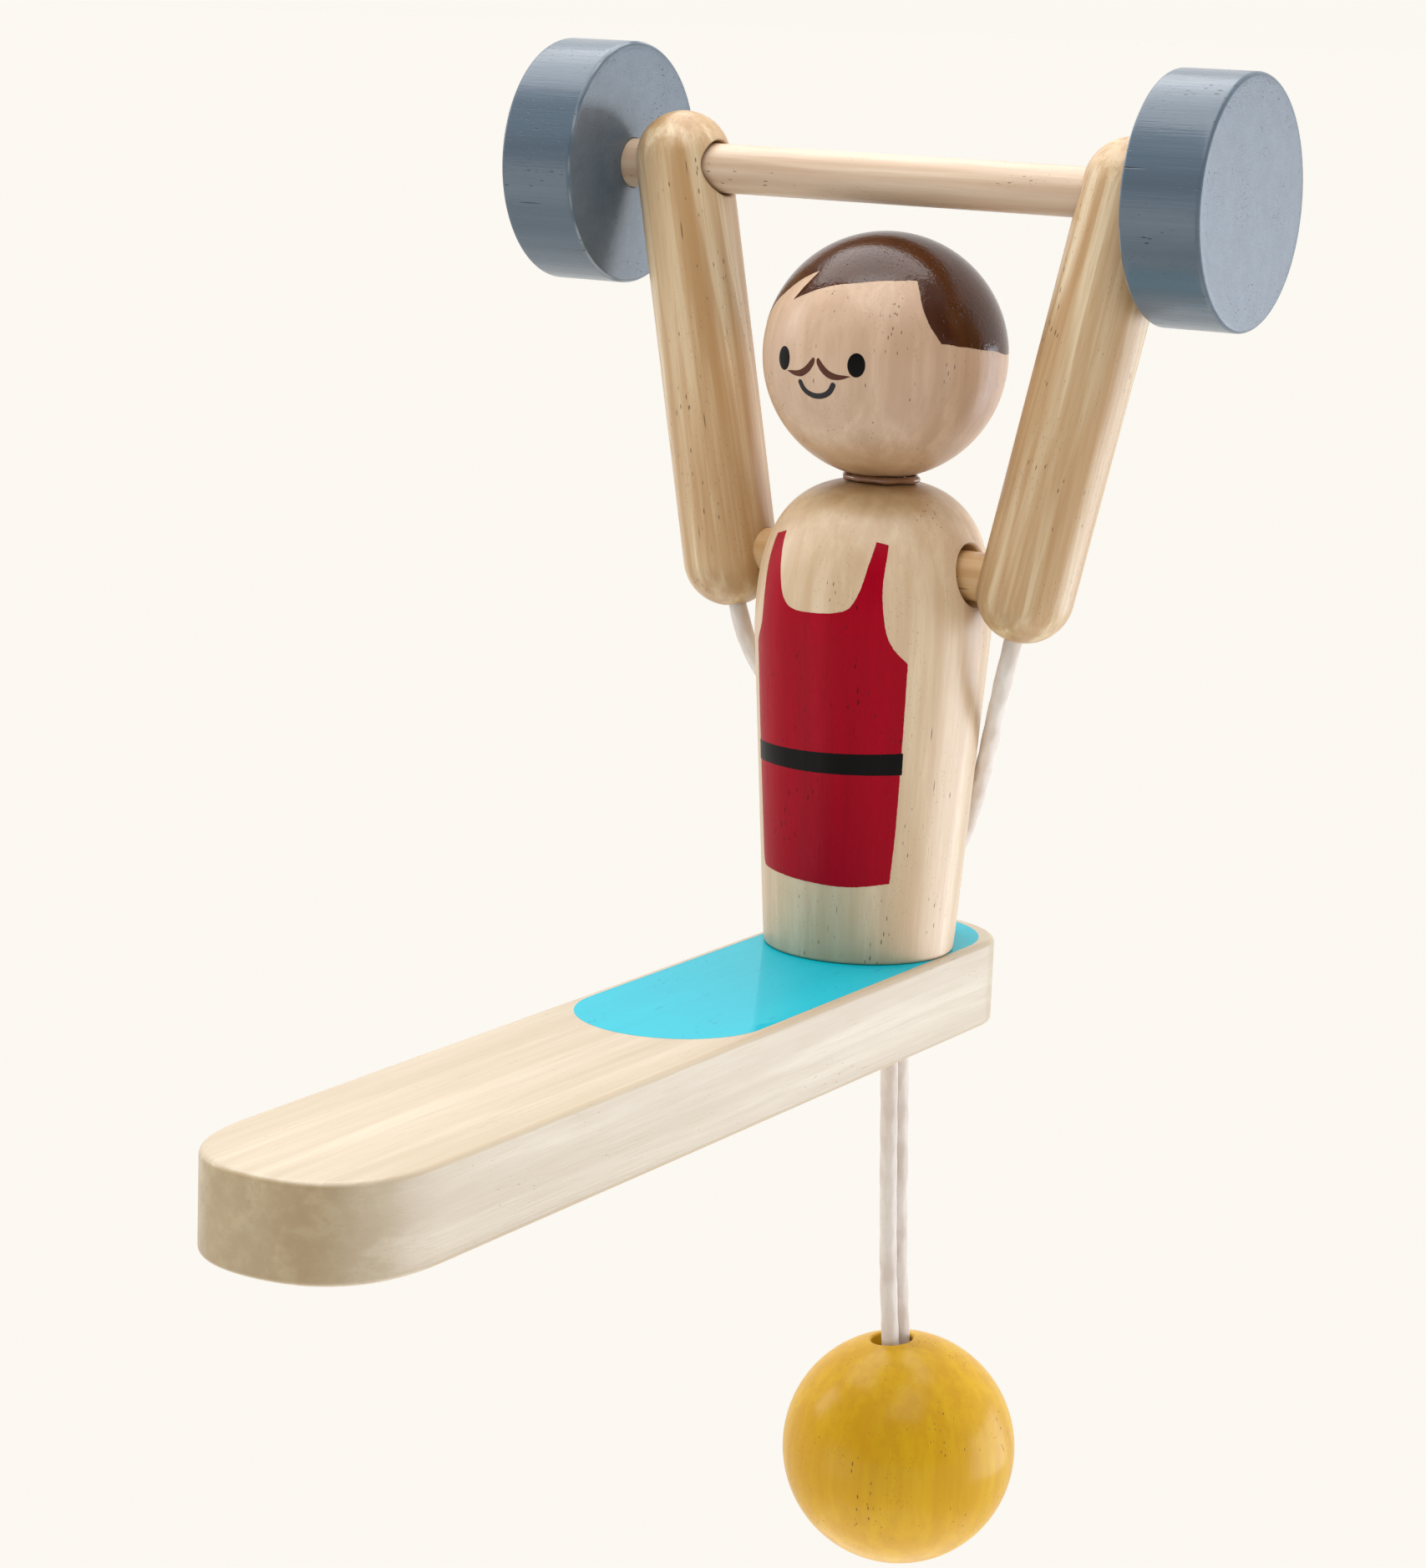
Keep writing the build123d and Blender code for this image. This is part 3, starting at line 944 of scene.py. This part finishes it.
def torso_radius(height):
    """Radius of the turned body in millimetres at a height above the board's top face."""
    if height < torso_widest_height:
        rise = height / torso_widest_height
        return torso_foot_radius + (torso_widest_radius - torso_foot_radius) * rise
    share = min(1.0, (height - torso_widest_height) / (torso_height - torso_widest_height))
    return torso_widest_radius * (1 - share**torso_shoulder_power) ** (1 / torso_shoulder_power)


def torso_profile():
    """Half outline of the body as (radius, height), from the foot's middle to the top's middle."""
    profile = [(0, 0), (8, 0)]
    profile += [(torso_foot_radius - inset, rise) for inset, rise in edge_arc(torso_foot_round, 4)]
    profile += [(torso_radius(height), height) for height in np.arange(3, torso_widest_height, 2.0)]
    power = 2 / torso_shoulder_power
    for turn in np.radians(np.linspace(0, 89, 50)):
        across = torso_widest_radius * math.cos(turn) ** power
        rise = (torso_height - torso_widest_height) * math.sin(turn) ** power
        if across > torso_top_flat_radius:
            profile.append((across, torso_widest_height + rise))
    return in_metres(profile + [(torso_top_flat_radius, torso_height), (0, torso_height)])


def make_torso():
    """Turned body with a rounded shoulder, bored for the axle and both dowels, notched at the heel."""
    torso = lathe("torso_wood", torso_profile(), fine_segments, Matrix.Translation(figure))
    reach = 2 * torso_widest_radius
    shoulder_bore = eased_bore(
        torso, at_figure(-reach, 0, shoulder_height), (1, 0, 0), shoulder_bore_radius * MM, 0.7 * MM,
        2 * reach * MM, far_mouth=True,
    )
    foot_hole = dowel_bore((0, -foot_dowel_forward, -5), (0, -foot_dowel_forward, foot_dowel_reach))
    neck_hole = dowel_bore((0, 0, torso_height - neck_dowel_in_torso), (0, 0, torso_height + 5))
    notch_profile = [(0, -5), (string_hole_radius, -5)]
    for turn in np.radians(np.linspace(0, 90, 13)[:-1]):
        height = heel_notch_height + string_hole_radius * math.sin(turn)
        notch_profile.append((string_hole_radius * math.cos(turn), height))
    notch_profile.append((0, heel_notch_height + string_hole_radius))
    heel = Matrix.Translation(at_figure(0, string_hole_back, 0))
    notch = lathe("cutter", in_metres(notch_profile), 64, heel)
    cut_away(torso, [shoulder_bore, foot_hole, neck_hole, notch])
    place(torso, "torso", "base", "torso", "torso_wood")


def make_head():
    """Ball for the head, bored for the neck dowel."""
    turns = np.linspace(0, math.pi, 129)[1:-1]
    profile = [(head_radius * math.sin(turn), -head_radius * math.cos(turn)) for turn in turns]
    profile = [(0, -head_radius), *profile, (0, head_radius)]
    head = lathe("head_wood", profile, fine_segments, Matrix.Translation(head_centre))
    bore_top = torso_height - neck_dowel_in_torso + neck_dowel_length
    cut_away(head, [dowel_bore((0, 0, torso_height - 5), (0, 0, bore_top))])
    place(head, "head", "base", "head", "head_wood")


def make_dowels():
    """The hidden dowels at the neck and foot, and the shoulder axle."""
    low = torso_height - neck_dowel_in_torso
    ahead = -foot_dowel_forward
    axle_end = (axle_half_length, 0, shoulder_height)
    pegs = (
        ("neck_dowel", (0, 0, low), (0, 0, low + neck_dowel_length), "base", "peg"),
        ("foot_dowel", (0, ahead, -foot_dowel_reach), (0, ahead, foot_dowel_reach), "base", "peg"),
        ("shoulder_axle", (-axle_half_length, 0, shoulder_height), axle_end, "arms", "dowel"),
    )
    for node, start, end, body, look in pegs:
        ends = at_figure(*start), at_figure(*end)
        peg = rod_piece(f"{node}_wood", *ends, dowel_radius * MM, 96, 0.3 * MM)
        place(peg, node, body, look, "dowel_wood")


# ---------------------------------------------------------------- arms and barbell

axle_half_length = 32.0
arm_radius = 7.95
arm_low_centre = Vector((27.6, 0.0, 62.1))
arm_high_centre = Vector((41.2, 2.4, 127.7))
arm_flat_at = 47.9
arm_bar_bore_radius = 4.5
arm_string_bore_depth = 4.5
string_bore_radius = 1.65
bar_radius = 4.05
bar_back = 2.3
bar_height = 126.5
barbell_end_play = -1.3
plate_radius = 20.1
plate_thickness = 13.5
plate_inner_face = 49.5
plate_bore_depth = 8.0
plate_edge_round = 0.7


def mirrored(point, side):
    """A point given for the figure's left, on its left (+1) or right (-1)."""
    return Vector((side * point.x, point.y, point.z))


def make_arm(side_name, side):
    """Round-ended arm, flat where it meets the plate, bored for the bar, the axle and the string."""
    run = arm_high_centre - arm_low_centre
    profile = []
    for turn in np.linspace(0, math.pi / 2, 21):
        profile.append((arm_radius * math.sin(turn), -arm_radius * math.cos(turn)))
    profile += [(arm_radius, height) for height in np.arange(1.5, run.length - 1, 1.5)]
    for turn in np.linspace(math.pi / 2, 0, 21):
        profile.append((arm_radius * math.sin(turn), run.length + arm_radius * math.cos(turn)))
    profile[0] = (0, -arm_radius)
    profile[-1] = (0, run.length + arm_radius)
    low = at_figure(*mirrored(arm_low_centre, side))
    high = at_figure(*mirrored(arm_high_centre, side))
    arm = lathe(f"{side_name}_arm_wood", in_metres(profile), 160, axis_matrix(low, high - low))
    flat = (figure.x + side * arm_flat_at * MM) * side
    ease = 0.12 * MM
    for vertex in arm.data.vertices:
        beyond = (vertex.co.x * side - flat) / ease
        if beyond > -8:
            vertex.co.x = side * (flat - ease * math.log1p(math.exp(-max(beyond, -30))))
    arm.data.update()
    across = (1, 0, 0)
    reach = 4 * arm_radius
    bar_at = at_figure(side * arm_high_centre.x - reach, bar_back, bar_height)
    bar_bore = eased_bore(
        arm, bar_at, across, arm_bar_bore_radius * MM, 0.55 * MM, 2 * reach * MM, far_mouth=True
    )
    axle_bore = dowel_bore((side * 5, 0, shoulder_height), (side * axle_half_length, 0, shoulder_height))
    down = (low - high).normalized()
    tip = low + down * arm_radius * MM
    string_bore = eased_bore(
        arm, tip + down * 3 * MM, -down, string_bore_radius * MM, 0.25 * MM,
        (3 + arm_string_bore_depth) * MM, segments=48,
    )
    cut_away(arm, [bar_bore, axle_bore, string_bore])
    place(arm, f"{side_name}_arm", "arms", f"{side_name}_arm", "arm_wood")


def make_barbell():
    """Bar and its two plates."""
    half_length = plate_inner_face + plate_bore_depth
    centre = at_figure(barbell_end_play, bar_back, bar_height)
    half = Vector((half_length * MM, 0, 0))
    bar = rod_piece("barbell_bar_wood", centre - half, centre + half, bar_radius * MM, 128)
    place(bar, "barbell_bar", "barbell", "bar", "bar_wood")
    for side_name, side in BOTH_SIDES:
        corners = [
            (0, plate_bore_depth), (bar_radius + glue_gap, plate_bore_depth), (bar_radius + glue_gap, 0),
            (plate_radius, 0), (plate_radius, plate_thickness), (0, plate_thickness),
        ]
        rounds = {2: 0.15, 3: plate_edge_round, 4: plate_edge_round}
        profile = subdivided(in_metres(rounded(corners, rounds, 7)), 1.0 * MM)
        matrix = axis_matrix(centre + Vector((side * plate_inner_face * MM, 0, 0)), (side, 0, 0))
        plate = lathe(f"{side_name}_plate_wood", profile, fine_segments, matrix)
        store_wear(plate, matrix)
        place(plate, f"{side_name}_plate", "barbell", f"{side_name}_plate", "plate_paint")


def store_wear(plate, matrix):
    """Stores where the plate's inner edge is rubbed pale: a thin broken line round its rim."""
    to_plate = matrix.inverted()
    inset = 0.2 * MM
    half_width = 0.25 * MM
    values = []
    for vertex in plate.data.vertices:
        local = to_plate @ vertex.co
        radius = math.hypot(local.x, local.y)
        from_edge = math.hypot(radius - plate_radius * MM + inset, local.z - inset)
        broken = mu_noise.noise(vertex.co * 260)
        values.append(max(0.0, 1 - from_edge / half_width) * min(1.0, max(0.0, 0.5 + 1.6 * broken)))
    wear = plate.data.attributes.new("wear", "FLOAT", "POINT")
    wear.data.foreach_set("value", values)


def subdivided(profile, step):
    """The profile with its long runs divided."""
    made = [profile[0]]
    for before, after in zip(profile, profile[1:]):
        parts = max(1, round(math.dist(before, after) / step))
        for part in range(1, parts + 1):
            share = part / parts
            made.append(tuple(a + (b - a) * share for a, b in zip(before, after)))
    return made


# ---------------------------------------------------------------- pull ball, and neck glue that also stands for the crevice's painted shade

ball_bore_radius = 3.6 * MM
ball_pocket_radius = 6.2 * MM


def make_ball():
    """Ball turned about its bore, with a pocket underneath for the knot."""
    ease = 0.5 * MM
    pocket_floor = ball_radius - ball_pocket_depth
    mouth_rim = -math.sqrt(ball_radius**2 - (ball_bore_radius + ease) ** 2)
    pocket_rim = math.sqrt(ball_radius**2 - (ball_pocket_radius + ease) ** 2)
    start_turn = math.asin((ball_bore_radius + ease) / ball_radius)
    end_turn = math.pi - math.asin((ball_pocket_radius + ease) / ball_radius)
    profile = []
    for turn in np.linspace(start_turn, end_turn, 110):
        profile.append((ball_radius * math.sin(turn), -ball_radius * math.cos(turn)))
    arc = edge_arc(ease, 6)[1:]
    profile += [(ball_pocket_radius + inset, pocket_rim - rise) for inset, rise in arc]
    profile += [(ball_pocket_radius, pocket_floor), (ball_bore_radius, pocket_floor)]
    profile += [(ball_bore_radius + inset, mouth_rim + rise) for inset, rise in reversed(arc)]
    ball = lathe(
        "pull_ball_wood", profile, fine_segments, axis_matrix(ball_centre, ball_bore_direction), True
    )
    place(ball, "pull_ball", "ball", "ball", "ball_stain")


def make_neck_glue_and_crevice_shade():
    """Thin uneven bead of glue squeezed out between the body and the head. Its brown colour is partly the
    glue's own and partly painted shade of the crevice there.
    """
    rings = 180
    sides = 16
    height = torso_height + 0.38
    reach = 6.0
    thickness = 0.52
    points = []
    for ring in range(rings):
        turn = 2 * math.pi * ring / rings
        around = Vector((math.cos(turn), math.sin(turn), 0))
        uneven = mu_noise.noise(around * 1.7 + Vector((0, 0, 4.2)))
        middle = at_figure(0, 0, height) + around * (reach + 1.3 * uneven) * MM
        thick = (thickness + 0.2 * mu_noise.noise(around * 3.1)) * MM
        for side in range(sides):
            tilt = -2 * math.pi * side / sides
            across = around * (1.3 * thick * math.cos(tilt))
            points.append(middle + across + Vector((0, 0, thick * math.sin(tilt))))
    faces = tube_faces(rings, sides, True)
    bead = new_piece("neck_glue_and_crevice_shade_bead", points, faces, 60)
    bead.data.materials.append(materials["glue_and_crevice_shade"])
    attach(bead, "base")


make_board()
make_torso()
make_head()
make_dowels()
make_neck_glue_and_crevice_shade()
for side_name, side in BOTH_SIDES:
    make_arm(side_name, side)
make_barbell()
make_ball()

# ---------------------------------------------------------------- paint

paint_lift = 0.05 * MM
paint_edge_lift = 0.02 * MM
paint_sink = 0.04 * MM


def smooth_outline(stretches, step, jitter=0.0, seed=0):
    """Closed outline through stretches of points: smooth within each, with a corner where two meet."""
    outline = []
    for points in stretches:
        knots = [Vector(p) for p in points]
        knots = [2 * knots[0] - knots[1]] + knots + [2 * knots[-1] - knots[-2]]
        for before, start, end, after in zip(knots, knots[1:], knots[2:], knots[3:]):
            parts = max(2, round((end - start).length / step))
            for part in range(parts):
                t = part / parts
                point = 0.5 * (
                    2 * start
                    + (end - before) * t
                    + (2 * before - 5 * start + 4 * end - after) * t**2
                    + (3 * start - before - 3 * end + after) * t**3
                )
                outline.append(point)
    for index, point in enumerate(outline):
        place_on = Vector((point.x, point.y, seed)) / 0.45
        shift = mu_noise.noise_vector(place_on)
        outline[index] = point + Vector((shift.x, shift.y)) * jitter
    return outline


def contains(loop, places):
    """Which of an array of flat places are inside a closed loop."""
    inside = np.zeros(len(places), bool)
    for start, end in zip(loop, np.roll(loop, -1, axis=0)):
        straddles = (start[1] > places[:, 1]) != (end[1] > places[:, 1])
        slope = (end[0] - start[0]) / ((end[1] - start[1]) or 1e-12)
        inside ^= straddles & (places[:, 0] < start[0] + slope * (places[:, 1] - start[1]))
    return inside


def inner_points(outline, spacing, holes=()):
    """Grid points well inside an outline and outside its holes."""
    loops = [np.array([tuple(p) for p in loop]) for loop in (outline, *holes)]
    low = loops[0].min(axis=0)
    high = loops[0].max(axis=0)
    grid_x, grid_y = np.meshgrid(np.arange(low[0], high[0], spacing), np.arange(low[1], high[1], spacing))
    grid_x[1::2] += spacing / 2
    grid = np.stack([grid_x.ravel(), grid_y.ravel()], axis=1)
    inside = np.zeros(len(grid), bool)
    near = np.full(len(grid), np.inf)
    for loop in loops:
        inside ^= contains(loop, grid)
        for start in loop:
            near = np.minimum(near, np.hypot(*(grid - start).T))
    return [Vector(p) for p in grid[inside & (near > 0.55 * spacing)]]


def painted_film(name, outline, spacing, surface, look, lift=paint_lift, holes=()):
    """Closed thin coat inside an outline. The surface function gives the point at (u, v) and a lift."""
    flat = [Vector(p) for p in outline]
    edges = [(k, (k + 1) % len(outline)) for k in range(len(outline))]
    for hole in holes:
        base = len(flat)
        flat += [Vector(p) for p in hole]
        edges += [(base + k, base + (k + 1) % len(hole)) for k in range(len(hole))]
    rim_count = len(flat)
    flat += inner_points(outline, spacing, holes)
    loop = list(range(len(outline)))
    verts, _, faces, origins, _, _ = delaunay_2d_cdt(flat, edges, [loop], 1, 1e-7)
    kept = []
    for face in faces:
        middle = sum((verts[k] for k in face), Vector((0, 0))) / len(face)
        if not any(contains(hole, np.array([middle]))[0] for hole in holes):
            kept.append(tuple(face))
    on_rim = [bool(origin) and min(origin) < rim_count for origin in origins]
    top = []
    for vert, rim in zip(verts, on_rim):
        top.append(surface(vert.x, vert.y, paint_edge_lift + lift - paint_lift if rim else lift))
    bottom = [surface(vert.x, vert.y, -paint_sink) for vert in verts]
    count = len(verts)
    uses = {}
    for face in kept:
        uses.update((edge, True) for edge in zip(face, face[1:] + face[:1]))
    walls = [(b, a, count + a, count + b) for a, b in uses if (b, a) not in uses]
    under = [tuple(count + k for k in reversed(face)) for face in kept]
    film = new_piece(name, top + bottom, kept + under + walls, 50)
    mesh = bmesh.new()
    mesh.from_mesh(film.data)
    loose = [vertex for vertex in mesh.verts if not vertex.link_faces]
    bmesh.ops.delete(mesh, geom=loose, context="VERTS")
    bmesh.ops.recalc_face_normals(mesh, faces=mesh.faces)
    mesh.to_mesh(film.data)
    mesh.free()
    smooth_by_angle(film, 50)
    film.data.materials.append(materials[look])
    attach(film, "base")


# Millimetres along the surface for each degree, on the body and on the head.
torso_degree = 0.33
head_degree = math.radians(1) * head_radius / MM
face_turn = -5.2


def torso_surface(u, v, lift):
    """Point on the body, from degrees round from the front (scaled) and height in millimetres."""
    turn = math.radians(u / torso_degree)
    slope = (torso_radius(v + 0.05) - torso_radius(v - 0.05)) / 0.1
    tilt = math.sqrt(1 + slope**2)
    radius = torso_radius(v) * MM + lift / tilt
    rise = v * MM - lift * slope / tilt
    return figure + Vector((radius * math.sin(turn), -radius * math.cos(turn), rise))


def head_point(lon, lat, lift):
    """Point on the head from degrees round from the front and up from its equator."""
    radius = head_radius + lift
    lon = math.radians(lon)
    lat = math.radians(lat)
    return head_centre + radius * Vector(
        (math.cos(lat) * math.sin(lon), -math.cos(lat) * math.cos(lon), math.sin(lat))
    )


def face_surface(u, v, lift):
    """Point on the face, in millimetres across and up from its middle."""
    return head_point(face_turn + u / head_degree, v / head_degree, lift)


def hair_flat(lon, lat):
    """Flat place of a point on the head, on a map centred on its top."""
    reach = (90 - lat) * head_degree
    return (reach * math.sin(math.radians(lon)), -reach * math.cos(math.radians(lon)))


def hair_surface(u, v, lift):
    """Point on the head from its place on the map centred on the top."""
    reach = math.hypot(u, v)
    return head_point(math.degrees(math.atan2(u, -v)), 90 - reach / head_degree, lift)


def board_surface(u, v, lift):
    """Point on the board's top, in millimetres from the figure's axis."""
    return at_figure(u, v, lift / MM)


def paint_body():
    """Red singlet and black belt."""
    singlet = [
        [(44.2, 14.0), (45.6, 23.6), (46.0, 35.7), (46.0, 50.7)],
        [(46.0, 50.7), (38.2, 53.3), (34.2, 56.5), (32.2, 62.8), (34.8, 69.6)],
        [(34.8, 69.6), (28.2, 70.0)],
        [
            (28.2, 70.0), (24.6, 66.2), (21.2, 62.3), (16.7, 59.5), (9.9, 58.5), (-2.0, 58.1),
            (-14.2, 58.3), (-21.0, 59.8), (-25.3, 62.9), (-29.0, 66.4), (-32.9, 70.1),
        ],
        [(-32.9, 70.1), (-42.0, 69.3)],
        [(-42.0, 69.3), (-41.0, 65.9), (-39.3, 60.2), (-40.0, 54.8), (-45.5, 51.4)],
        [(-45.5, 51.4), (-45.6, 33.0), (-44.4, 16.0)],
        [
            (-44.4, 16.0), (-43.0, 14.4), (-39.0, 13.9), (-21.0, 13.6), (0.0, 13.3), (21.5, 13.2),
            (44.2, 14.0),
        ],
    ]
    belt = [
        [(-46.2, 31.7), (0.0, 31.9), (46.8, 32.3)],
        [(46.8, 32.3), (46.8, 35.9)],
        [(46.8, 35.9), (0.0, 35.3), (-46.2, 34.9)],
        [(-46.2, 34.9), (-46.2, 31.7)],
    ]
    for name, outline, look, lift in (
        ("singlet_paint", singlet, "red", paint_lift), ("belt_paint", belt, "black", 1.7 * paint_lift),
    ):
        scaled = [[(u * torso_degree, v) for u, v in stretch] for stretch in outline]
        line = smooth_outline(scaled, 0.22, 0.05, 3)
        painted_film(name, line, 0.9, torso_surface, look, lift)


def paint_hair():
    """Brown hair with a side parting, short sideburns and a straight hairline round the back."""
    hair = [
        [(-21.5, 43.9), (-25.0, 36.0), (-29.5, 27.1)],
        [(-29.5, 27.1), (-19.3, 31.7), (-2.6, 37.0), (12.9, 39.4), (31.7, 41.2), (45.7, 41.5)],
        [(45.7, 41.5), (45.9, 35.2), (46.4, 27.7), (48.9, 19.8), (51.9, 14.8), (54.7, 10.6)],
        [
            (54.7, 10.6), (67.8, 9.0), (85.8, 6.8), (109.9, 3.6), (145.0, -0.5), (175.0, -2.5),
            (205.0, -0.5), (240.0, 3.6), (264.0, 6.8), (282.0, 9.0), (295.0, 10.6),
        ],
        [(295.0, 10.6), (299.0, 15.0), (303.5, 19.8), (308.5, 24.2), (319.0, 31.8), (338.5, 43.9)],
    ]
    mapped = [[hair_flat(lon, lat) for lon, lat in stretch] for stretch in hair]
    line = smooth_outline(mapped, 0.2, 0.07, 5)
    painted_film("hair_paint", line, 0.8, hair_surface, "hair", 1.2 * paint_lift)


def paint_face():
    """Eyes, moustache and smile."""
    for name, side in BOTH_SIDES:
        eye = [
            (side * 7.1 + 1.46 * math.cos(turn), -0.06 + 1.92 * math.sin(turn))
            for turn in np.linspace(0, 2 * math.pi, 72, endpoint=False)
        ]
        painted_film(f"{name}_eye_paint", eye, 0.4, face_surface, "black")
        half = [
            [(0.17, 0.35), (0.40, 0.62), (0.72, 0.48), (1.10, 0.03), (2.09, -0.95), (3.17, -1.53)]
            + [(4.15, -1.76), (5.22, -1.82), (6.28, -1.92)],
            [(6.28, -1.92), (4.98, -2.42), (3.85, -2.64), (2.80, -2.56), (1.83, -2.10), (1.14, -1.55)]
            + [(0.57, -0.85), (0.24, -0.22), (0.17, 0.35)],
        ]
        half = [[(side * u, v) for u, v in stretch] for stretch in half]
        line = smooth_outline(half, 0.08, 0.02, side)
        painted_film(f"{name}_moustache_paint", line, 0.35, face_surface, "moustache")
    centre_line = [(-3.2, -3.55), (-2.72, -4.42), (-2.0, -5.05), (-1.0, -5.46), (0.0, -5.58)]
    centre_line += [(-u, v) for u, v in reversed(centre_line[:-1])]
    half_width = 0.47
    line = smooth_outline([centre_line], 0.15)[:-1]
    path = [Vector(p) for p in line] + [Vector(centre_line[-1])]
    outer = []
    inner = []
    for index, point in enumerate(path):
        before = path[max(0, index - 1)]
        after = path[min(len(path) - 1, index + 1)]
        along = (after - before).normalized()
        outer.append(point + Vector((along.y, -along.x)) * half_width)
        inner.append(point - Vector((along.y, -along.x)) * half_width)
    caps = []
    for end, across in ((path[-1], outer[-1] - path[-1]), (path[0], inner[0] - path[0])):
        angle = math.atan2(across.y, across.x)
        caps.append(
            [
                end + half_width * Vector((math.cos(angle + turn), math.sin(angle + turn)))
                for turn in np.linspace(0, math.pi, 12)[1:-1]
            ]
        )
    smile = outer + caps[0] + list(reversed(inner)) + caps[1]
    painted_film("smile_paint", smile, 0.3, face_surface, "smile")


def paint_board():
    """Glossy blue patch with round ends, open over the strings' hole."""
    radius = 15.6
    near = -59.0
    far = 10.0
    outline = [
        (radius * math.cos(turn), far + radius * math.sin(turn)) for turn in np.linspace(0, math.pi, 90)
    ]
    outline += [
        (-radius * math.cos(turn), near - radius * math.sin(turn)) for turn in np.linspace(0, math.pi, 90)
    ]
    reach = string_hole_radius + 0.5
    hole = [
        (reach * math.cos(turn), string_hole_back + reach * math.sin(turn))
        for turn in np.linspace(0, 2 * math.pi, 72, endpoint=False)
    ]
    painted_film("blue_patch_paint", outline, 2.0, board_surface, "blue", holes=[hole])


# Without a seed, the noise vectors that roughen the paint's edges would differ from run to run.
paint_edge_seed = 1
mu_noise.seed_set(paint_edge_seed)
paint_body()
paint_hair()
paint_face()
paint_board()

# ---------------------------------------------------------------- colour view

view = bpy.context.scene.view_settings
view.view_transform = "Standard"
view.look = "None"
